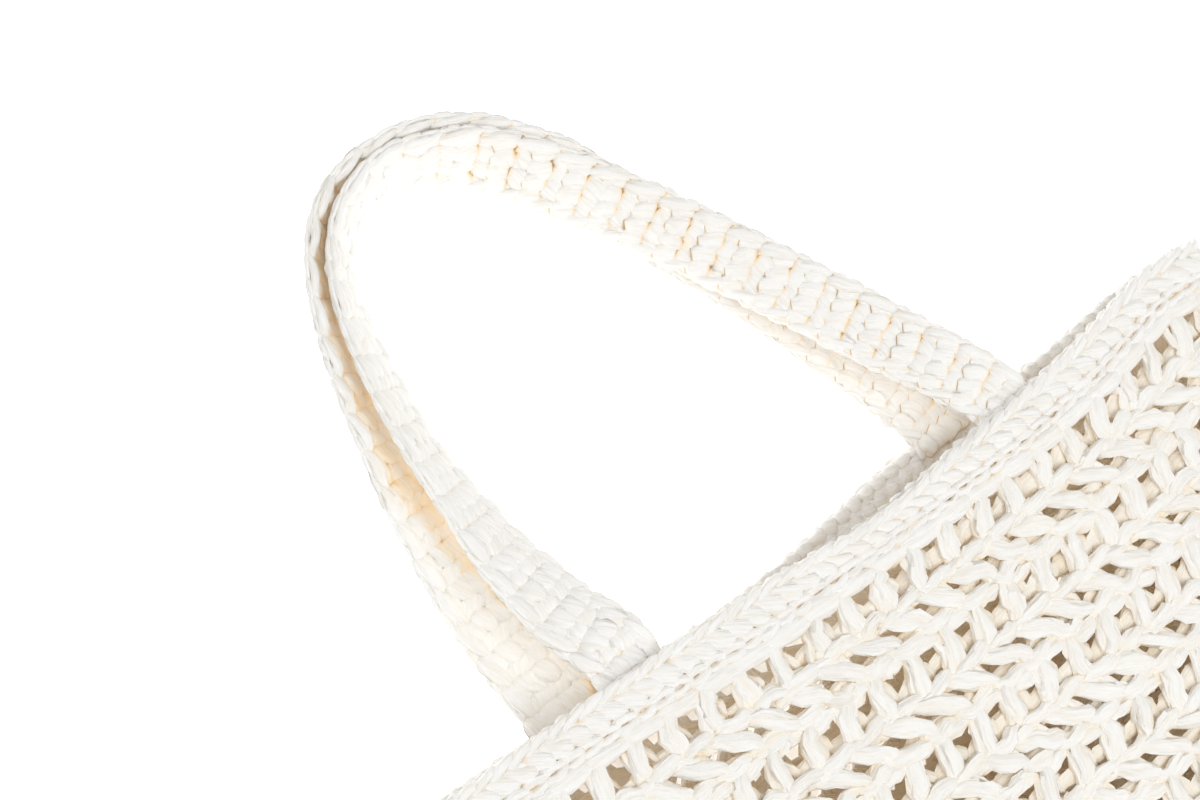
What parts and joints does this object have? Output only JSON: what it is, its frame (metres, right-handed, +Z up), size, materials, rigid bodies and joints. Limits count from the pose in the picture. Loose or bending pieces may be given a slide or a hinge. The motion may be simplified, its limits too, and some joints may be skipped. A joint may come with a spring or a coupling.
{
  "type": "raffia tote bag",
  "caption": "Open crocheted tote bag lying flat: net body on a dense base, ribbed rim band and paired flat shoulder straps sewn inside the rim.",
  "frame": {"origin": "middle of the lying bag's footprint, on the surface it lies on", "axes": "+Z up from the surface, +Y from the base towards the handles, +X along the rim"},
  "size_m": [0.42, 0.5042, 0.036],
  "materials": {
    "net_crochet": "matt off-white paper raffia, open net",
    "dense_crochet": "matt off-white paper raffia, close stitches",
    "strap_crochet": "matt off-white paper raffia, cross ribs"
  },
  "bodies": {
    "root": {"base_panel": "dense_crochet", "net_body": "net_crochet", "rim_band": "dense_crochet", "front_handle": "strap_crochet", "back_handle": "strap_crochet"}
  },
  "joints": []
}
